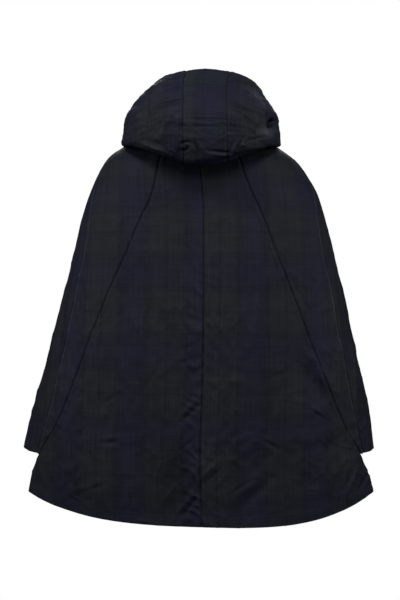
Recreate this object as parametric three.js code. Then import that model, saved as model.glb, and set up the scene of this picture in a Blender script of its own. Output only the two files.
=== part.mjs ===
// Hooded rain cape in a dark check, filled out as if worn, with its hood pushed back.
// Millimetres. +Z is up, +Y is the way the wearer faces, +X is the wearer's right.
// The origin is the middle of the neck opening, where the wearer's neck and shoulders hold the cape.
import * as THREE from "three";

// Driving sizes
const CLOTH = 1.5; // wall of cloth
const SEAM_GAP = 0.3; // between two pieces at a seam
const HOOD_STRIP_WIDTH = 84; // middle strip of the hood
const STRIP_SHIFT = 6.5; // how far that strip has slipped to the right where the hood is full
const PLACKET_WIDTH = 50; // fly over the centre front
const FRONT_EDGE = 1.2; // from the centre front to each hood front edge
const TAIL_DROP = 772; // from the origin down to the back hem at the centre back
const TAIL_RISE = 58; // how far the back hem rises to its corners
const TAIL_CURVE = 3.2; // power of that rise: flat in the middle, quick at the corners
const TAIL_SWING = 4; // how much lower the right half of the tail hangs than an even hem
const VENT_DROP = 640; // where the side vent starts, and the foot of the side pieces

// Shape powers. A ring is x = side sin(a), with y and z going from the side to the back or the front
// as |cos(a)| ^ fullness and |cos(a)| ^ tilt.
const BACK_FULLNESS = 0.76;
const FRONT_FULLNESS = 0.84;
const NECK_TILT_POWER = 2;

const RADIANS = Math.PI / 180;

// Sections of the cape body from the neckline down. Each is a closed ring through four points:
// the centre back, the two sides and the centre front. midX is how far the ring stands off the middle.
const BODY_SECTIONS = [
  { drop: 0, midX: 0, sideX: 78, sideZ: 4, backY: -74, backZ: -8, frontY: 80, frontZ: -58 },
  { drop: 20, midX: -1, sideX: 104, sideZ: -8, backY: -92, backZ: -26, frontY: 92, frontZ: -70 },
  { drop: 40, midX: -3, sideX: 130, sideZ: -22, backY: -105, backZ: -46, frontY: 101, frontZ: -84 },
  { drop: 60, midX: -4, sideX: 156, sideZ: -39, backY: -115, backZ: -68, frontY: 108, frontZ: -100 },
  { drop: 80, midX: -3, sideX: 182, sideZ: -57, backY: -122, backZ: -90, frontY: 113, frontZ: -118 },
  { drop: 100, midX: -1, sideX: 200, sideZ: -78, backY: -127, backZ: -112, frontY: 117, frontZ: -137 },
  { drop: 120, midX: 1, sideX: 213, sideZ: -99, backY: -131, backZ: -134, frontY: 120, frontZ: -155 },
  { drop: 150, midX: 3, sideX: 229, sideZ: -133, backY: -135, backZ: -162, frontY: 124, frontZ: -180 },
  { drop: 190, midX: 3, sideX: 243, sideZ: -180, backY: -140, backZ: -196, frontY: 129, frontZ: -208 },
  { drop: 240, midX: 3, sideX: 257, sideZ: -240, backY: -146, backZ: -240, frontY: 134, frontZ: -240 },
  { drop: 320, midX: 3, sideX: 277, sideZ: -320, backY: -156, backZ: -320, frontY: 142, frontZ: -320 },
  { drop: 420, midX: 2, sideX: 301, sideZ: -420, backY: -168, backZ: -420, frontY: 152, frontZ: -420 },
  { drop: 520, midX: 0, sideX: 325, sideZ: -520, backY: -180, backZ: -520, frontY: 162, frontZ: -520 },
  { drop: 640, midX: -4, sideX: 350, sideZ: -640, backY: -195, backZ: -640, frontY: 174, frontZ: -640 },
  { drop: 780, midX: 0, sideX: 369, sideZ: -780, backY: -212, backZ: -780, frontY: 188, frontZ: -780 },
];

// Where the long seams cross the sections. raglanX, the slanting back seam and then the open edge of the
// tail, and frontX, the slanting front seam, are distances from the middle of the section. overarm, the
// seam from the shoulder to the vent, is in degrees round from the centre back.
const SEAM_LINES = [
  { drop: 0, raglanX: 55, overarm: 86, frontX: 50 },
  { drop: 20, raglanX: 65, overarm: 86, frontX: 59 },
  { drop: 60, raglanX: 80, overarm: 85, frontX: 76 },
  { drop: 100, raglanX: 94, overarm: 83.5, frontX: 92 },
  { drop: 120, raglanX: 101, overarm: 80.5, frontX: 100 },
  { drop: 150, raglanX: 113, overarm: 73.5, frontX: 110 },
  { drop: 190, raglanX: 128, overarm: 68.5, frontX: 122 },
  { drop: 240, raglanX: 146, overarm: 66, frontX: 138 },
  { drop: 320, raglanX: 180, overarm: 65, frontX: 163 },
  { drop: 420, raglanX: 219, overarm: 63.5, frontX: 197 },
  { drop: 520, raglanX: 256, overarm: 63.5, frontX: 228 },
  { drop: 600, raglanX: 296, overarm: 64.5, frontX: 250 },
  { drop: 640, raglanX: 315, overarm: 65.7, frontX: 262 },
  { drop: 716, raglanX: 337, overarm: 68, frontX: 284 },
  { drop: 780, raglanX: 343.5, overarm: 70, frontX: 300 },
];

// The front hem, which is shorter than the tail, by degrees round from the centre back.
const FRONT_HEM = [
  { angle: 60, drop: 640 },
  { angle: 90, drop: 634 },
  { angle: 140, drop: 642 },
  { angle: 180, drop: 650 },
];

// Rings of the hood from the neck seam, under the bag, round its back and up to the rim.
// along is the distance from the neck seam, measured down the middle of the back.
const HOOD_RINGS = [
  // along, midX, sideX, sideY, sideZ, backY, backZ, frontY, frontZ, tilt
  [0, 0, 78, 0, 4, -74, -8, 80, -58, 2],
  [30, 0, 104, -4, 9, -104, -21, 88, -46, 2],
  [60, 0, 129, -14, 0, -134, -46, 93, -41, 2.5],
  [95, 0, 147, -30, -18, -164, -75, 97, -37, 3.2],
  [115, 0, 154, -38, -29, -182, -84, 99, -34, 3.5],
  [140, 0, 157, -42, -23, -202, -71, 101, -31, 3],
  [175, -1, 154, -40, -6, -212, -36, 103, -27, 2],
  [215, -1, 152, -37, 15, -215, 2, 105, -22, 1.3],
  [255, -1, 145, -33, 29, -206, 41, 107, -17, 1],
  [285, -1, 137, -30, 37, -191, 64, 108, -12, 0.88],
  [310, 0, 129, -27, 41, -172, 84, 108, -6, 0.8],
  [338, 6, 118, -23, 43, -152, 105, 107, 0, 0.76],
].map(([along, midX, sideX, sideY, sideZ, backY, backZ, frontY, frontZ, tilt]) => (
  { along, midX, sideX, sideY, sideZ, backY, backZ, frontY, frontZ, tilt }));
const RIM = 338; // along, at the hood's front edge

// Soft folds of the body, pushed out where depth is positive and in where it is negative.
// Each runs down the cape between two drops, about one line of degrees from the centre back.
const BODY_FOLDS = [
  { angle: 9, lean: 2, from: 150, to: 720, width: 5, depth: -2.5 },
  { angle: -8, lean: -3, from: 170, to: 760, width: 4.5, depth: -3.5 },
  { angle: 42, lean: 4, from: 380, to: 800, width: 7, depth: -4 },
  { angle: -37, lean: -5, from: 430, to: 800, width: 7, depth: -3.5 },
  { angle: 79, lean: 3, from: 170, to: 700, width: 5, depth: -5 },
  { angle: 94, lean: 4, from: 250, to: 400, width: 12, depth: 3 },
  { angle: 92, lean: 0, from: 560, to: 700, width: 12, depth: -4 },
  { angle: 106, lean: 3, from: 420, to: 700, width: 8, depth: 6 },
  { angle: -82, lean: -2, from: 190, to: 700, width: 5, depth: -4 },
  { angle: -95, lean: -4, from: 460, to: 700, width: 11, depth: 5 },
  { angle: -104, lean: -4, from: 230, to: 420, width: 9, depth: 6 },
  { angle: 128, lean: 3, from: 260, to: 700, width: 9, depth: -8 },
  { angle: -131, lean: -2, from: 240, to: 700, width: 9, depth: -8 },
  { angle: 152, lean: 0, from: 300, to: 700, width: 8, depth: 5 },
  { angle: -155, lean: 0, from: 320, to: 700, width: 8, depth: 5 },
];

// Dents of the hood: where each lies, its half width round the hood and along it, and its depth.
const HOOD_DENTS = [
  { angle: 66, along: 205, wide: 9, long: 16, depth: -9 },
  { angle: 64, along: 168, wide: 9, long: 15, depth: 5 },
  { angle: 84, along: 118, wide: 17, long: 22, depth: 8 },
  { angle: -84, along: 118, wide: 16, long: 22, depth: 6 },
  { angle: -13, along: 146, wide: 7, long: 12, depth: -4 },
  { angle: 20, along: 130, wide: 12, long: 9, depth: -4 },
  { angle: -52, along: 262, wide: 30, long: 16, depth: -3.5 },
  { angle: 47, along: 262, wide: 22, long: 15, depth: -3.5 },
];

// Rows and columns of each piece's grid
const BODY_ROWS = 20;
const TAIL_ROWS = 4;
const HOOD_ROWS = 22;
const GRID = {
  back: [BODY_ROWS + TAIL_ROWS, 8],
  raglanBack: [BODY_ROWS, 4],
  raglanFront: [BODY_ROWS, 11],
  front: [BODY_ROWS, 6],
  placket: [BODY_ROWS, 2],
  hoodStrip: [HOOD_ROWS, 4],
  hoodSide: [HOOD_ROWS, 17],
};

// Smooth value of one column of a table at a place, by Hermite curves with slopes that never overshoot.
function readTable(rows, key, column, at) {
  const last = rows.length - 2;
  let i = 0;
  while (i < last && at > rows[i + 1][key]) i += 1;
  const slope = (n) => (rows[n + 1][column] - rows[n][column]) / (rows[n + 1][key] - rows[n][key]);
  const tangent = (n) => {
    if (n === 0) return slope(0);
    if (n === rows.length - 1) return slope(last);
    const before = slope(n - 1);
    const after = slope(n);
    return before * after <= 0 ? 0 : (2 * before * after) / (before + after);
  };
  const span = rows[i + 1][key] - rows[i][key];
  const t = (at - rows[i][key]) / span;
  if (t < 0) return rows[0][column] + tangent(0) * (at - rows[0][key]);
  if (t > 1) return rows[i + 1][column] + tangent(i + 1) * (at - rows[i + 1][key]);
  const h = t * t * (3 - 2 * t);
  const first = t * (1 - t) * (1 - t) * span * tangent(i);
  const second = t * t * (t - 1) * span * tangent(i + 1);
  return rows[i][column] * (1 - h) + rows[i + 1][column] * h + first + second;
}

// A point on a ring. The angle is in degrees, 0 at the centre back, positive towards +X.
function ringPoint(ring, angle) {
  const c = Math.cos(angle * RADIANS);
  const x = ring.midX + ring.sideX * Math.sin(angle * RADIANS);
  const ahead = c < 0;
  const endY = ahead ? ring.frontY : ring.backY;
  const endZ = ahead ? ring.frontZ : ring.backZ;
  const y = ring.sideY + (endY - ring.sideY) * Math.abs(c) ** (ahead ? FRONT_FULLNESS : BACK_FULLNESS);
  const z = ring.sideZ + (endZ - ring.sideZ) * Math.abs(c) ** ring.tilt;
  return new THREE.Vector3(x, y, z);
}

const RING_COLUMNS = ["midX", "sideX", "sideZ", "backY", "backZ", "frontY", "frontZ"];

function bodyBase(angle, drop) {
  const ring = { sideY: 0, tilt: NECK_TILT_POWER };
  for (const column of RING_COLUMNS) ring[column] = readTable(BODY_SECTIONS, "drop", column, drop);
  return ringPoint(ring, angle);
}

function hoodBase(angle, along) {
  const ring = {};
  for (const column of [...RING_COLUMNS, "sideY", "tilt"]) {
    ring[column] = readTable(HOOD_RINGS, "along", column, along);
  }
  return ringPoint(ring, angle);
}

// Outward normal of a surface given as a function of angle and place, from small steps each way.
function normalOf(surface, angle, place, facing) {
  const step = 0.4;
  const round = surface(angle + step, place).sub(surface(angle - step, place));
  const down = surface(angle, place + step).sub(surface(angle, place - step));
  return round.cross(down).normalize().multiplyScalar(facing);
}

const bell = (x) => Math.exp(-x * x);
const smoothStep = (t) => {
  const c = Math.min(1, Math.max(0, t));
  return c * c * (3 - 2 * c);
};

const FOLD_FADE = 90; // mm of drop over which a fold comes in and dies out

function bodyRelief(angle, drop) {
  const turn = angle > 180 ? angle - 360 : angle;
  return BODY_FOLDS.reduce((sum, fold) => {
    const part = (drop - fold.from) / (fold.to - fold.from);
    const comesIn = smoothStep((drop - fold.from) / FOLD_FADE);
    const diesOut = smoothStep((fold.to + FOLD_FADE - drop) / FOLD_FADE);
    return sum + fold.depth * comesIn * diesOut * bell((turn - fold.angle - fold.lean * part) / fold.width);
  }, 0);
}

function hoodRelief(angle, along) {
  return HOOD_DENTS.reduce((sum, dent) => {
    const round = bell((angle - dent.angle) / dent.wide);
    return sum + dent.depth * round * bell((along - dent.along) / dent.long);
  }, 0);
}

// The two shapes that pieces are cut from: base form, outward side, and relief.
const BODY = { base: bodyBase, facing: -1, relief: bodyRelief };
const HOOD = { base: hoodBase, facing: 1, relief: hoodRelief };

// A point of a shape, moved out by lift, and its normal. The hood starts one seam gap above the neckline.
function surfacePoint(shape, angle, place, lift) {
  const normal = normalOf(shape.base, angle, place, shape.facing);
  const point = shape.base(angle, place).addScaledVector(normal, shape.relief(angle, place) + lift);
  if (shape === HOOD) {
    const neckShare = bell(place / HOOD_RINGS[1].along);
    point.addScaledVector(normalOf(bodyBase, angle, 0, BODY.facing), SEAM_GAP * neckShare);
  }
  return { point, normal };
}

// Angle of a seam that stands x from the middle, on the back or on the front.
function seamAngle(x, sideX, onFront) {
  const angle = Math.asin(Math.min(1, x / sideX)) / RADIANS;
  return onFront ? 180 - angle : angle;
}

function bodySeam(column, onFront) {
  return (drop) => {
    const sideX = readTable(BODY_SECTIONS, "drop", "sideX", drop);
    return seamAngle(readTable(SEAM_LINES, "drop", column, drop), sideX, onFront);
  };
}

// Degrees round a shape that cover a distance there
function degreesFor(shape, angle, place, distance) {
  const across = shape.base(angle + 0.5, place).distanceTo(shape.base(angle - 0.5, place));
  return distance / across;
}

// The wall of one piece. cut gives the angle and the place on the shape for a share across and down.
// Outer points lie on the shape, inner points one cloth further in, and the four edges are closed.
function panel(shape, [rows, columns], cut, lift = 0) {
  const outer = [];
  const inner = [];
  for (let r = 0; r <= rows; r += 1) {
    for (let c = 0; c <= columns; c += 1) {
      const { angle, place } = cut(c / columns, r / rows);
      const { point, normal } = surfacePoint(shape, angle, place, lift);
      outer.push(point);
      inner.push(point.clone().addScaledVector(normal, -CLOTH));
    }
  }
  const points = [...outer, ...inner];
  const width = columns + 1;
  const back = outer.length;
  const faces = [];
  const quad = (a, b, c, d) => faces.push(a, b, c, a, c, d);
  for (let r = 0; r < rows; r += 1) {
    for (let c = 0; c < columns; c += 1) {
      const a = r * width + c;
      quad(a, a + width, a + width + 1, a + 1);
      quad(back + a, back + a + 1, back + a + width + 1, back + a + width);
    }
  }
  for (let c = 0; c < columns; c += 1) {
    const foot = rows * width + c;
    quad(c, c + 1, back + c + 1, back + c);
    quad(foot + 1, foot, back + foot, back + foot + 1);
  }
  for (let r = 0; r < rows; r += 1) {
    const left = r * width;
    const right = left + columns;
    quad(left + width, left, back + left, back + left + width);
    quad(right, right + width, back + right + width, back + right);
  }
  if (shape.facing > 0) faces.reverse();
  const geometry = new THREE.BufferGeometry();
  geometry.setAttribute("position", new THREE.Float32BufferAttribute(points.flatMap((p) => p.toArray()), 3));
  geometry.setIndex(faces);
  geometry.computeVertexNormals();
  return geometry;
}

// Rows of the body stand closer over the shoulder than at the hem. All pieces share the rows down to the
// vent, so that neighbours meet row by row, and the tail has its own rows below.
const ROW_EASE = 0.5;
const HEM_SHARE = 0.25; // share of the height over which rows bend from level to their hem
const easeRow = (t) => t * (1 - ROW_EASE) + t * t * ROW_EASE;
function bodyRow(t, foot) {
  const level = SEAM_GAP + easeRow(t) * (VENT_DROP - SEAM_GAP);
  return level + (foot - VENT_DROP) * smoothStep((t - 1 + HEM_SHARE) / HEM_SHARE);
}

// The swing is nothing at the centre back and at the corners, and most between them.
const SWING_PEAK = 2.6;
const tailCorner = () => raglanSeam(TAIL_DROP - TAIL_RISE);
const tailDrop = (side) => (angle) => {
  const share = Math.sin(angle * RADIANS) / Math.sin(tailCorner() * RADIANS);
  const swing = side * TAIL_SWING * SWING_PEAK * share * (1 - share * share);
  return TAIL_DROP - TAIL_RISE * share ** TAIL_CURVE + swing;
};
const tailShare = BODY_ROWS / (BODY_ROWS + TAIL_ROWS);
function tailRow(t, foot) {
  const belowVent = (t - tailShare) / (1 - tailShare);
  return belowVent > 0 ? VENT_DROP + (foot - VENT_DROP) * belowVent : bodyRow(t / tailShare, VENT_DROP);
}
const frontHemDrop = (angle) => readTable(FRONT_HEM, "angle", "drop", angle);

// Cuts a body piece between two seams, from the neckline to a hem, half a seam gap in from each seam.
// side is 1 for the wearer's right and -1 for the left.
function bodyCut(side, nearSeam, farSeam, footAngles, hemDrop, rowDrop = bodyRow) {
  return (across, down) => {
    const share = side > 0 ? across : 1 - across;
    const footAngle = footAngles[0] + (footAngles[1] - footAngles[0]) * share;
    const drop = rowDrop(down, hemDrop(footAngle));
    const near = nearSeam(drop);
    const far = farSeam(drop);
    const inset = degreesFor(BODY, (near + far) / 2, drop, SEAM_GAP / 2);
    const angle = near + inset + (far - near - 2 * inset) * share;
    return { angle: side * angle, place: drop };
  };
}

const raglanSeam = bodySeam("raglanX", false);
const overarmSeam = (drop) => readTable(SEAM_LINES, "drop", "overarm", drop);
const frontSeam = bodySeam("frontX", true);
const centreBack = () => 0;
const centreFront = () => 180;

const backPanel = (side) =>
  panel(BODY, GRID.back, bodyCut(side, centreBack, raglanSeam, [0, tailCorner()], tailDrop(side), tailRow));

const raglanBackPanel = (side) =>
  panel(BODY, GRID.raglanBack, bodyCut(side, raglanSeam, overarmSeam, [0, 0], () => VENT_DROP));

const raglanFrontPanel = (side) => {
  const feet = [overarmSeam(VENT_DROP), frontSeam(VENT_DROP)];
  return panel(BODY, GRID.raglanFront, bodyCut(side, overarmSeam, frontSeam, feet, frontHemDrop));
};

const frontPanel = (side) => {
  const feet = [frontSeam(VENT_DROP), centreFront()];
  return panel(BODY, GRID.front, bodyCut(side, frontSeam, centreFront, feet, frontHemDrop));
};

// The fly lies on the two fronts, made from their points moved out by one cloth and one gap.
const PLACKET_TOP = 4;
function placketPanel() {
  return panel(
    BODY,
    GRID.placket,
    (across, down) => {
      const drop = Math.max(PLACKET_TOP, bodyRow(down, frontHemDrop(centreFront())));
      const half = seamAngle(PLACKET_WIDTH / 2, readTable(BODY_SECTIONS, "drop", "sideX", drop), false);
      return { angle: 180 + half * (2 * across - 1), place: drop };
    },
    CLOTH + SEAM_GAP,
  );
}

// The strip leaves the neck in the middle and is slipped to the right once it is past the fold under the bag.
const SLIP_END = 120;
function stripAngle(along, side) {
  const slip = STRIP_SHIFT * smoothStep(along / SLIP_END);
  return seamAngle(HOOD_STRIP_WIDTH / 2 + side * slip, readTable(HOOD_RINGS, "along", "sideX", along), false);
}
const hoodFrontAngle = (along) =>
  seamAngle(FRONT_EDGE, readTable(HOOD_RINGS, "along", "sideX", along), true);

// Columns of a hood side stand a little closer near the strip, where the hood is fullest.
const SIDE_EASE = 0.25;
const easeSide = (t) => t * (1 - SIDE_EASE) + t * t * SIDE_EASE;
function sideAngle(along, t, side) {
  const near = stripAngle(along, side);
  return near + (hoodFrontAngle(along) - near) * easeSide(t);
}

// The middle strip runs from the neck seam, under the bag and up to the rim.
const hoodStrip = () =>
  panel(HOOD, GRID.hoodStrip, (across, down) => {
    const along = down * RIM;
    const left = -stripAngle(along, -1);
    const right = stripAngle(along, 1);
    const inset = degreesFor(HOOD, right, along, SEAM_GAP / 2);
    return { angle: left + (right - left) * across - inset * (2 * across - 1), place: along };
  });

const hoodSide = (side) =>
  panel(HOOD, GRID.hoodSide, (across, down) => {
    const share = side > 0 ? across : 1 - across;
    const along = down * RIM;
    const inset = degreesFor(HOOD, stripAngle(along, side), along, SEAM_GAP / 2);
    return { angle: side * (sideAngle(along, share, side) + inset * (1 - share)), place: along };
  });

const cloth = (color) => new THREE.MeshStandardMaterial({ color, roughness: 0.62, metalness: 0 });
const NAVY = 0x1d202b;
const GREEN = 0x1e2422;

const cape = new THREE.Group();
function add(name, geometry, color) {
  const mesh = new THREE.Mesh(geometry, cloth(color));
  mesh.name = name;
  cape.add(mesh);
}

for (const [label, side] of [["right", 1], ["left", -1]]) {
  add("back_" + label, backPanel(side), NAVY);
  add("raglan_back_" + label, raglanBackPanel(side), GREEN);
  add("raglan_front_" + label, raglanFrontPanel(side), NAVY);
  add("front_" + label, frontPanel(side), GREEN);
  add("hood_side_" + label, hoodSide(side), NAVY);
}
add("front_placket", placketPanel(), NAVY);
add("hood_strip", hoodStrip(), GREEN);

export default cape;
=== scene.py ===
"""Hooded rain cape in a dark navy and green check, laid out as a Blender add-on and run as a script.

The cape hangs as if worn, with its hood pushed back. Each piece of cloth is a thin closed shell. Its outer
face is a grid of points worked out from the sections of the cape. Its inner face lies one wall further in.
Tables and shapes are in millimetres. Meshes are in metres. +Z is up and +Y is the way the wearer faces.
"""

import math

import bpy
import numpy as np
from bpy.props import FloatProperty, FloatVectorProperty, PointerProperty
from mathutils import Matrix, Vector


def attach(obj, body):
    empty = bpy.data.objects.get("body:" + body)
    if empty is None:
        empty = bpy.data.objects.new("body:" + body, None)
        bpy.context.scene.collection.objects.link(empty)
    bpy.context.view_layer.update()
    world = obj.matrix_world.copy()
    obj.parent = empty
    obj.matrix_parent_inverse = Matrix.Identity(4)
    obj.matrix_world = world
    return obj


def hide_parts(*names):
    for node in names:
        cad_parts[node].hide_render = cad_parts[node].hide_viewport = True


bl_info = {
    "name": "Hooded Rain Cape",
    "version": (1, 0, 0),
    "blender": (4, 5, 0),
    "location": "View3D > Sidebar > Cape",
    "description": "Builds a hooded rain cape in a dark check, piece by piece",
    "category": "Object",
}

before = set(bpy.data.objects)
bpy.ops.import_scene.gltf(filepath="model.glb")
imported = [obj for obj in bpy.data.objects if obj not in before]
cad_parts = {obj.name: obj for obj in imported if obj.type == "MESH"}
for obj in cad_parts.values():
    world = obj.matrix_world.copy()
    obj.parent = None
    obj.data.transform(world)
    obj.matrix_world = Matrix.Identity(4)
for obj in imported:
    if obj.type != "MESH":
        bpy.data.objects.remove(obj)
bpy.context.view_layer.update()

MM = 0.001
RIGHT = 1
LEFT = -1


# Tables


class Table:
    """Columns of numbers against the first column, read along smooth curves that never overshoot."""

    def __init__(self, names, rows):
        self.column = {name: i for i, name in enumerate(names.split())}
        self.rows = np.array(rows, float)
        slope = np.diff(self.rows, axis=0) / np.diff(self.rows[:, :1], axis=0)
        before, after = slope[:-1], slope[1:]
        same = before * after > 0
        middle = np.where(same, 2 * before * after / np.where(same, before + after, 1), 0)
        self.tangent = np.vstack([slope[:1], middle, slope[-1:]])

    def __call__(self, name, at):
        k = self.column[name]
        x, y, m = self.rows[:, 0], self.rows[:, k], self.tangent[:, k]
        i = np.clip(np.searchsorted(x, at, side="right") - 1, 0, len(x) - 2)
        span = x[i + 1] - x[i]
        place = (at - x[i]) / span
        t = np.clip(place, 0, 1)
        h = t * t * (3 - 2 * t)
        curve = t * (1 - t) ** 2 * span * m[i] + t * t * (t - 1) * span * m[i + 1]
        beyond = (place - t) * span * np.where(place < 0, m[i], m[i + 1])
        return y[i] * (1 - h) + y[i + 1] * h + curve + beyond


BODY = Table("drop mid_x side_x side_z back_y back_z front_y front_z", [
    (0, 0, 78, 4, -74, -8, 80, -58),
    (20, -1, 104, -8, -92, -26, 92, -70),
    (40, -3, 130, -22, -105, -46, 101, -84),
    (60, -4, 156, -39, -115, -68, 108, -100),
    (80, -3, 182, -57, -122, -90, 113, -118),
    (100, -1, 200, -78, -127, -112, 117, -137),
    (120, 1, 213, -99, -131, -134, 120, -155),
    (150, 3, 229, -133, -135, -162, 124, -180),
    (190, 3, 243, -180, -140, -196, 129, -208),
    (240, 3, 257, -240, -146, -240, 134, -240),
    (320, 3, 277, -320, -156, -320, 142, -320),
    (420, 2, 301, -420, -168, -420, 152, -420),
    (520, 0, 325, -520, -180, -520, 162, -520),
    (640, -4, 350, -640, -195, -640, 174, -640),
    (780, 0, 369, -780, -212, -780, 188, -780),
])
SEAMS = Table("drop raglan_x overarm front_x", [
    (0, 55, 86, 50),
    (20, 65, 86, 59),
    (60, 80, 85, 76),
    (100, 94, 83.5, 92),
    (120, 101, 80.5, 100),
    (150, 113, 73.5, 110),
    (190, 128, 68.5, 122),
    (240, 146, 66, 138),
    (320, 180, 65, 163),
    (420, 219, 63.5, 197),
    (520, 256, 63.5, 228),
    (600, 296, 64.5, 250),
    (640, 315, 65.7, 262),
    (716, 337, 68, 284),
    (780, 343.5, 70, 300),
])
# how much further from the centre back each slanted back seam lies than in the plain model
SLANT = Table("drop left right", [
    (0, 0, 0),
    (60, -3, -4),
    (131, -4, -7),
    (180, -1, -6.5),
    (250, 2, -7),
    (340, 3.5, -9.5),
    (400, 4, -9.6),
    (467, 4, -7),
    (540, 0, -5.5),
    (589, -5, -8),
    (640, 0, -2),
    (720, 0, 0),
    (790, 0, 0),
])
FRONT_HEM = Table("angle drop", [(60, 640), (90, 634), (140, 642), (180, 650)])
HOOD = Table("along mid_x side_x side_y side_z back_y back_z front_y front_z tilt", [
    (0, 0, 78, 0, 4, -74, -8, 80, -58, 2),
    (30, 0, 104, -4, 9, -104, -21, 88, -46, 2),
    (60, 0, 129, -14, 0, -134, -46, 93, -41, 2.5),
    (95, 0, 147, -30, -18, -164, -75, 97, -37, 3.2),
    (115, 0, 154, -38, -29, -182, -84, 99, -34, 3.5),
    (140, 0, 157, -42, -23, -202, -71, 101, -31, 3),
    (175, -1, 154, -40, -6, -212, -36, 103, -27, 2),
    (215, -1, 152, -37, 15, -215, 2, 105, -22, 1.3),
    (255, -1, 145, -33, 29, -206, 41, 107, -17, 1),
    (285, -1, 137, -30, 37, -191, 64, 108, -12, 0.88),
    (310, 0, 129, -27, 41, -172, 84, 108, -6, 0.8),
    (338, 6, 118, -23, 43, -152, 105, 107, 0, 0.76),
])
RIM = 338
BACK_FULLNESS, FRONT_FULLNESS = 0.76, 0.84
SEAM_GAP = 0.3
SEAM_LAP = 0.25
VENT_DROP = 640
TAIL_DROP, TAIL_RISE, TAIL_CURVE, TAIL_SWING = 772, 58, 3.2, 4
HOOD_STRIP_WIDTH, STRIP_SHIFT, SLIP_END = 84, 6.5, 120
FRONT_EDGE = 0.05
HOOD_LAP = 0.1
FLY_WIDTH, FLY_TOP, FLY_LIFT = 50, 4, 1.8
# how deep cloth rolls into a seam, how far in its stitches run, and how wide and thick allowance and hem are
SEAM_ROLL, SEAM_STITCH, ALLOWANCE, ALLOWANCE_PLY = 1.9, 6.5, 9, 0.5
HEM, HEM_STITCH, HEM_PLY = 18, 16, 0.8
HOOD_ROLL, HOOD_SEAM_STITCH, HOOD_HEM, HOOD_HEM_STITCH, HOOD_HEM_PLY = 1.1, 4.0, 29, 27, 0.9
RIDGE_INSET, FLY_STITCH = 3.6, 4.5

# angle, lean, from, to, width, depth: soft folds that run down the cape
FOLDS = [
    (9, 2, 150, 720, 5, -2.5),
    (-8, -3, 170, 760, 4.5, -3.5),
    (42, 4, 380, 800, 7, -4),
    (-37, -5, 430, 800, 7, -3.5),
    (79, 3, 170, 700, 5, -5),
    (94, 4, 250, 400, 12, 3),
    (92, 0, 560, 700, 12, -4),
    (106, 3, 420, 700, 8, 6),
    (-82, -2, 190, 700, 5, -4),
    (-95, -4, 460, 700, 11, 5),
    (-104, -4, 230, 420, 9, 6),
    (128, 3, 260, 700, 9, -8),
    (-131, -2, 240, 700, 9, -8),
    (152, 0, 300, 700, 8, 5),
    (-155, 0, 320, 700, 8, 5),
]
# angle, along, half width in degrees, half length, depth: dents and swells of the hood
DENTS = [
    (66, 205, 9, 16, -9),
    (64, 168, 9, 15, 5),
    (84, 118, 17, 22, 8),
    (-84, 118, 16, 22, 6),
    (-13, 146, 7, 12, -4),
    (20, 130, 12, 9, -4),
    (-52, 262, 30, 16, -3.5),
    (47, 262, 22, 15, -3.5),
]
FOLD_FADE = 90


# Shape functions


def bell(x):
    """1 at 0 and falling away on both sides, as e to the minus x squared."""
    return np.exp(-x * x)


def smooth(t):
    """Goes from 0 to 1 as t does, level at both ends."""
    c = np.clip(t, 0, 1)
    return c * c * (3 - 2 * c)


def lattice(u, v, seed):
    """Gradient noise from -1 to 1: slopes at whole places, blended between the four around each point."""
    rng = np.random.RandomState(seed)
    turn = rng.uniform(0, 2 * math.pi, (64, 64))
    u0, v0 = np.floor(u).astype(int), np.floor(v).astype(int)
    fu, fv = u - u0, v - v0

    def corner(du, dv):
        a = turn[(u0 + du) % 64, (v0 + dv) % 64]
        return np.cos(a) * (fu - du) + np.sin(a) * (fv - dv)

    su, sv = smooth(fu), smooth(fv)
    low = corner(0, 0) * (1 - su) + corner(1, 0) * su
    high = corner(0, 1) * (1 - su) + corner(1, 1) * su
    return 1.5 * (low * (1 - sv) + high * sv)


def crease_noise(u, v, seed):
    """Thin sharp lines, 1 on each line and 0 between, where gradient noise crosses zero."""
    return np.clip(1 - np.abs(lattice(u, v, seed)) * 3.2, 0, 1) ** 1.6


def ring_point(table, angle, place, side_y=0.0, tilt=2.0):
    """A ring through the back, the sides and the front.

    x is the side's distance times the sine of the angle. y and z go from the side's place to the back's or
    the front's as powers of the cosine.
    """
    c = np.cos(np.radians(angle))
    ahead = c < 0
    end_y = np.where(ahead, table("front_y", place), table("back_y", place))
    end_z = np.where(ahead, table("front_z", place), table("back_z", place))
    power = np.where(ahead, FRONT_FULLNESS, BACK_FULLNESS)
    x = table("mid_x", place) + table("side_x", place) * np.sin(np.radians(angle))
    y = side_y + (end_y - side_y) * np.abs(c) ** power
    z = table("side_z", place) + (end_z - table("side_z", place)) * np.abs(c) ** tilt
    return np.stack([x, y, z], -1)


def body_base(angle, drop):
    """The cape without its folds, by angle from the centre back and by drop below the neck."""
    return ring_point(BODY, angle, drop)


def hood_base(angle, along):
    """The hood without its dents, by angle from the centre back and by length from the neck seam."""
    return ring_point(HOOD, angle, along, HOOD("side_y", along), HOOD("tilt", along))


def unit(vectors):
    """Vectors divided by their lengths."""
    return vectors / np.maximum(np.linalg.norm(vectors, axis=-1, keepdims=True), 1e-9)


def base_normal(base, angle, place, facing):
    """Outward normal of a base shape: the cross product of a small step round it and a small step down it."""
    step = 0.4
    around = base(angle + step, place) - base(angle - step, place)
    down = base(angle, place + step) - base(angle, place - step)
    return unit(np.cross(around, down)) * facing


def body_relief(angle, drop):
    """Height of the soft folds: each a bell across a leaning line, faded in and out at its ends."""
    turn = np.where(angle > 180, angle - 360, angle)
    total = np.zeros_like(turn)
    for at, lean, start, end, width, depth in FOLDS:
        fade = smooth((drop - start) / FOLD_FADE) * smooth((end + FOLD_FADE - drop) / FOLD_FADE)
        total += depth * fade * bell((turn - at - lean * (drop - start) / (end - start)) / width)
    return total


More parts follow.
